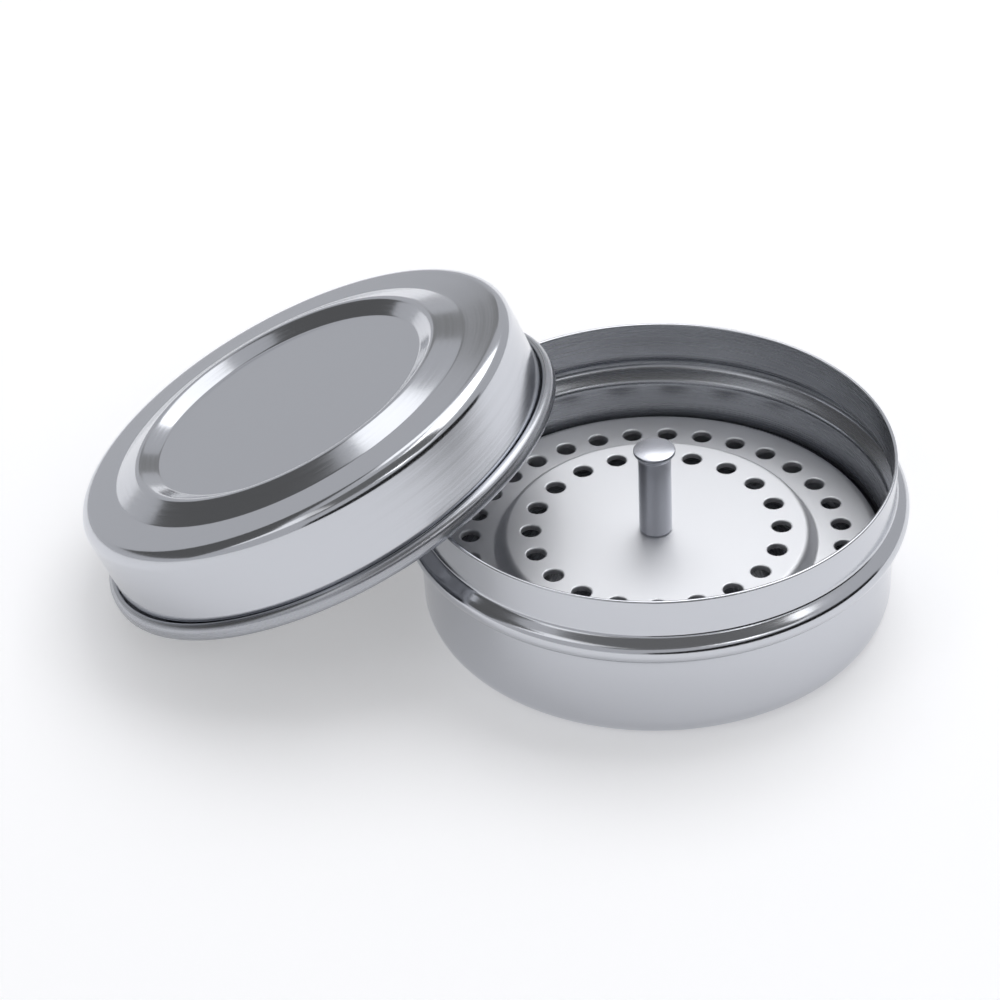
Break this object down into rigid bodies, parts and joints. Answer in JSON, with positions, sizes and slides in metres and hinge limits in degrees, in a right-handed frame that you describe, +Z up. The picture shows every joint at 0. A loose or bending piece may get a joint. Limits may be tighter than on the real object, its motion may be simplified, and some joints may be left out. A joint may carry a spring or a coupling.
{
  "type": "endodontic file box",
  "caption": "Round stainless steel instrument box with a lift-off lid and a stepped, perforated plate on a central post that holds files upright.",
  "frame": {"origin": "on the base's axis at its flat underside, where the box stands", "axes": "+Z up along the base's axis, +X to the right and -Y towards the viewer of the picture; the lid leans on the base's left side"},
  "size_m": [0.1396, 0.0987, 0.0472],
  "materials": {
    "polished_steel": "polished drawn stainless steel sheet",
    "satin_steel": "satin stainless steel sheet",
    "turned_steel": "turned stainless steel"
  },
  "bodies": {
    "base": {"base_cup": "polished_steel"},
    "lid": {"lid": "polished_steel"},
    "insert": {"instrument_plate": "satin_steel", "lifting_post": "turned_steel", "post_washer": "turned_steel", "post_screw": "turned_steel"}
  },
  "joints": [
    {"name": "lid_lift", "type": "slide", "parent": "base", "child": "lid", "axis": [-0.3873, 0.1002, 0.9165], "range_m": [0, 0.08]},
    {"name": "insert_lift", "type": "slide", "parent": "base", "child": "insert", "axis": [0, 0, 1], "range_m": [0, 0.032]}
  ],
  "couplings": [
    {"joint": "insert_lift", "follows": "lid_lift", "ratio": 0.4}
  ]
}
